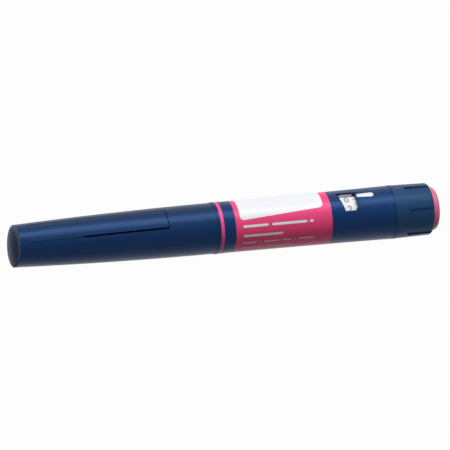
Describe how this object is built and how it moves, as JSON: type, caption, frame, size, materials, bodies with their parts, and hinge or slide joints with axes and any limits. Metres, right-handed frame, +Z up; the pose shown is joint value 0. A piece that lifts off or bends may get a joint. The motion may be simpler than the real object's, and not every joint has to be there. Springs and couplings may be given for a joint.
{
  "type": "insulin pen",
  "caption": "Prefilled insulin pen with clip cap, label, dose window, turning dose selector and press button.",
  "frame": {"origin": "middle of the capped pen's length, on the surface that the pen lies on", "axes": "+X along the pen from the needle end to the dose button, +Z up through the clip and the dose window"},
  "size_m": [0.148, 0.018, 0.0179],
  "materials": {
    "cap_plastic": "satin dark blue",
    "ring_plastic": "satin pink",
    "label_film": "satin printed film, pink with a white panel",
    "white_plastic": "satin white",
    "clear_plastic": "clear",
    "glass": "clear",
    "aluminium": "brushed",
    "rubber": "matte",
    "grey_plastic": "matte grey",
    "amber_plastic": "matte amber",
    "green_plastic": "matte green",
    "orange_plastic": "matte orange",
    "violet_plastic": "matte violet",
    "red_plastic": "matte red",
    "spring_steel": "drawn",
    "ivory_plastic": "matte ivory",
    "dial_plastic": "satin teal blue",
    "button_plastic": "satin pink"
  },
  "bodies": {
    "housing": {"housing": "cap_plastic", "collar_ring": "ring_plastic", "label": "label_film", "dose_pointer": "white_plastic", "cartridge_holder": "clear_plastic", "cartridge_glass": "glass", "crimp_cap": "aluminium", "septum": "rubber", "nut_element": "grey_plastic", "torsion_spring": "spring_steel", "spring_base": "ivory_plastic"},
    "cap": {"cap": "cap_plastic"},
    "dial": {"dial": "dial_plastic", "return_spring": "spring_steel"},
    "button": {"dose_button": "button_plastic", "reset_tube": "violet_plastic", "clutch_ring": "green_plastic"},
    "content_nut": {"content_nut": "red_plastic"},
    "ratchet": {"ratchet_tube": "orange_plastic"},
    "drum": {"scale_drum": "white_plastic"},
    "drive": {"drive_element": "amber_plastic"},
    "rod": {"piston_rod": "grey_plastic"},
    "piston": {"piston": "rubber", "piston_washer": "white_plastic"}
  },
  "joints": [
    {"name": "cap_pull", "type": "slide", "parent": "housing", "child": "cap", "axis": [-1, 0, 0], "range_m": [0, 0.075]},
    {"name": "dose_turn", "type": "hinge", "parent": "housing", "child": "dial", "pos_m": [0, 0, 0.0089], "axis": [-1, 0, 0], "range_deg": [0, 750], "deforming": ["torsion_spring"]},
    {"name": "button_press", "type": "slide", "parent": "dial", "child": "button", "axis": [-1, 0, 0], "range_m": [0, 0.0018], "stiffness_N_per_m": 600, "springref_m": -0.0015, "deforming": ["return_spring"]},
    {"name": "content_nut_travel", "type": "slide", "parent": "dial", "child": "content_nut", "axis": [1, 0, 0], "range_m": [0, 0.0068]},
    {"name": "ratchet_turn", "type": "hinge", "parent": "housing", "child": "ratchet", "pos_m": [0, 0, 0.0089], "axis": [-1, 0, 0], "range_deg": [0, 750]},
    {"name": "drum_travel", "type": "slide", "parent": "ratchet", "child": "drum", "axis": [-1, 0, 0], "range_m": [0, 0.0121]},
    {"name": "drive_turn", "type": "hinge", "parent": "housing", "child": "drive", "pos_m": [0, 0, 0.0089], "axis": [-1, 0, 0], "range_deg": [0, 4500]},
    {"name": "rod_advance", "type": "slide", "parent": "drive", "child": "rod", "axis": [-1, 0, 0], "range_m": [0, 0.0407]},
    {"name": "piston_advance", "type": "slide", "parent": "housing", "child": "piston", "axis": [-1, 0, 0], "range_m": [0, 0.0407]}
  ],
  "couplings": [
    {"joint": "ratchet_turn", "follows": "dose_turn", "ratio": 1},
    {"joint": "drum_travel", "follows": "dose_turn", "m_per_rad": 0.0009231},
    {"joint": "content_nut_travel", "follows": "dose_turn", "m_per_rad": 0.00051694},
    {"joint": "rod_advance", "follows": "drive_turn", "m_per_rad": 0.00051694},
    {"joint": "piston_advance", "follows": "drive_turn", "m_per_rad": 0.00051694}
  ]
}
